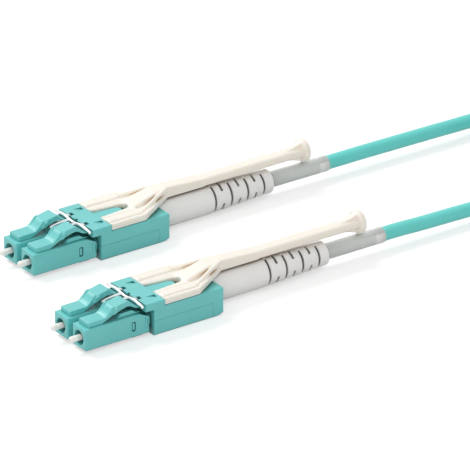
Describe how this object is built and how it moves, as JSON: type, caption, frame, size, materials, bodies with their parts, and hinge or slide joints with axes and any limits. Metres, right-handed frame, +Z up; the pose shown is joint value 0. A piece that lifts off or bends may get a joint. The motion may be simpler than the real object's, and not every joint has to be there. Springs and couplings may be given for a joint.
{
  "type": "fiber optic patch cord",
  "caption": "Fibre patch cord: one round cable between two duplex connectors, each with latched plugs, a wire release, a push-pull tab and a slotted boot.",
  "frame": {"origin": "on the table under the middle of the two connectors' common box", "axes": "+X from the ferrule tips to the cable, +Z up, +Y to connector a"},
  "size_m": [0.1693, 0.0472, 0.0099],
  "materials": {
    "connector_plastic": "satin moulded, aqua",
    "white_plastic": "satin moulded, ivory white",
    "ferrule_ceramic": "polished zirconia ceramic",
    "flange_metal": "turned, nickel plated",
    "spring_steel": "drawn wire",
    "wire_steel": "bright formed wire",
    "crimp_metal": "plain",
    "label_paper": "bare printed-label film, grey-white",
    "clear_sleeve": "clear heat-shrink sleeve",
    "fibre_buffer": "buffered fibre",
    "cable_jacket": "satin extruded jacket, aqua",
    "tie_fabric": "hook-and-loop strap"
  },
  "bodies": {
    "cord_body": {"a_plug_left": "connector_plastic", "a_plug_right": "connector_plastic", "a_back_post_left": "connector_plastic", "a_back_post_right": "connector_plastic", "a_housing_top": "connector_plastic", "a_housing_bottom": "connector_plastic", "a_boot": "white_plastic", "a_crimp_ring": "crimp_metal", "a_label": "label_paper", "a_label_sleeve": "clear_sleeve", "a_fibre_left": "fibre_buffer", "a_fibre_right": "fibre_buffer", "a_cable_entry": "cable_jacket", "b_plug_left": "connector_plastic", "b_plug_right": "connector_plastic", "b_back_post_left": "connector_plastic", "b_back_post_right": "connector_plastic", "b_housing_top": "connector_plastic", "b_housing_bottom": "connector_plastic", "b_boot": "white_plastic", "b_crimp_ring": "crimp_metal", "b_label": "label_paper", "b_label_sleeve": "clear_sleeve", "b_fibre_left": "fibre_buffer", "b_fibre_right": "fibre_buffer", "b_cable_entry": "cable_jacket", "a_spring_left": "spring_steel", "a_spring_right": "spring_steel", "b_spring_left": "spring_steel", "b_spring_right": "spring_steel", "cord_lead_a": "cable_jacket", "cord_coil": "cable_jacket", "cord_lead_b": "cable_jacket", "coil_tie": "tie_fabric"},
    "a_tab": {"a_pull_tab": "white_plastic"},
    "a_wire": {"a_release_wire": "wire_steel"},
    "a_latch_arm_left": {"a_latch_left": "connector_plastic"},
    "a_ferrule_unit_left": {"a_ferrule_left": "ferrule_ceramic", "a_flange_left": "flange_metal"},
    "a_latch_arm_right": {"a_latch_right": "connector_plastic"},
    "a_ferrule_unit_right": {"a_ferrule_right": "ferrule_ceramic", "a_flange_right": "flange_metal"},
    "b_tab": {"b_pull_tab": "white_plastic"},
    "b_wire": {"b_release_wire": "wire_steel"},
    "b_latch_arm_left": {"b_latch_left": "connector_plastic"},
    "b_ferrule_unit_left": {"b_ferrule_left": "ferrule_ceramic", "b_flange_left": "flange_metal"},
    "b_latch_arm_right": {"b_latch_right": "connector_plastic"},
    "b_ferrule_unit_right": {"b_ferrule_right": "ferrule_ceramic", "b_flange_right": "flange_metal"}
  },
  "joints": [
    {"name": "a_tab_slide", "type": "slide", "parent": "cord_body", "child": "a_tab", "axis": [1, 0, 0], "range_m": [0, 0.002], "stiffness_N_per_m": 600, "springref_m": -0.001},
    {"name": "a_wire_drop", "type": "slide", "parent": "cord_body", "child": "a_wire", "axis": [0, 0, -1], "range_m": [0, 0.00081]},
    {"name": "a_latch_left_press", "type": "hinge", "parent": "cord_body", "child": "a_latch_arm_left", "pos_m": [-0.02625, 0.01963, 0.0056], "axis": [0, 1, 0], "range_deg": [0, 5.75]},
    {"name": "a_ferrule_left_slide", "type": "slide", "parent": "cord_body", "child": "a_ferrule_unit_left", "axis": [1, 0, 0], "range_m": [0, 0.0009], "stiffness_N_per_m": 1000, "springref_m": -0.005, "deforming": ["a_spring_left"]},
    {"name": "a_latch_right_press", "type": "hinge", "parent": "cord_body", "child": "a_latch_arm_right", "pos_m": [-0.02625, 0.01337, 0.0056], "axis": [0, 1, 0], "range_deg": [0, 5.75]},
    {"name": "a_ferrule_right_slide", "type": "slide", "parent": "cord_body", "child": "a_ferrule_unit_right", "axis": [1, 0, 0], "range_m": [0, 0.0009], "stiffness_N_per_m": 1000, "springref_m": -0.005, "deforming": ["a_spring_right"]},
    {"name": "b_tab_slide", "type": "slide", "parent": "cord_body", "child": "b_tab", "axis": [1, 0, 0], "range_m": [0, 0.002], "stiffness_N_per_m": 600, "springref_m": -0.001},
    {"name": "b_wire_drop", "type": "slide", "parent": "cord_body", "child": "b_wire", "axis": [0, 0, -1], "range_m": [0, 0.00081]},
    {"name": "b_latch_left_press", "type": "hinge", "parent": "cord_body", "child": "b_latch_arm_left", "pos_m": [-0.03625, -0.01337, 0.0056], "axis": [0, 1, 0], "range_deg": [0, 5.75]},
    {"name": "b_ferrule_left_slide", "type": "slide", "parent": "cord_body", "child": "b_ferrule_unit_left", "axis": [1, 0, 0], "range_m": [0, 0.0009], "stiffness_N_per_m": 1000, "springref_m": -0.005, "deforming": ["b_spring_left"]},
    {"name": "b_latch_right_press", "type": "hinge", "parent": "cord_body", "child": "b_latch_arm_right", "pos_m": [-0.03625, -0.01963, 0.0056], "axis": [0, 1, 0], "range_deg": [0, 5.75]},
    {"name": "b_ferrule_right_slide", "type": "slide", "parent": "cord_body", "child": "b_ferrule_unit_right", "axis": [1, 0, 0], "range_m": [0, 0.0009], "stiffness_N_per_m": 1000, "springref_m": -0.005, "deforming": ["b_spring_right"]}
  ],
  "couplings": [
    {"joint": "a_wire_drop", "follows": "a_tab_slide", "ratio": 0.4},
    {"joint": "a_latch_left_press", "follows": "a_tab_slide", "rad_per_m": 50},
    {"joint": "a_latch_right_press", "follows": "a_tab_slide", "rad_per_m": 50},
    {"joint": "b_wire_drop", "follows": "b_tab_slide", "ratio": 0.4},
    {"joint": "b_latch_left_press", "follows": "b_tab_slide", "rad_per_m": 50},
    {"joint": "b_latch_right_press", "follows": "b_tab_slide", "rad_per_m": 50}
  ]
}
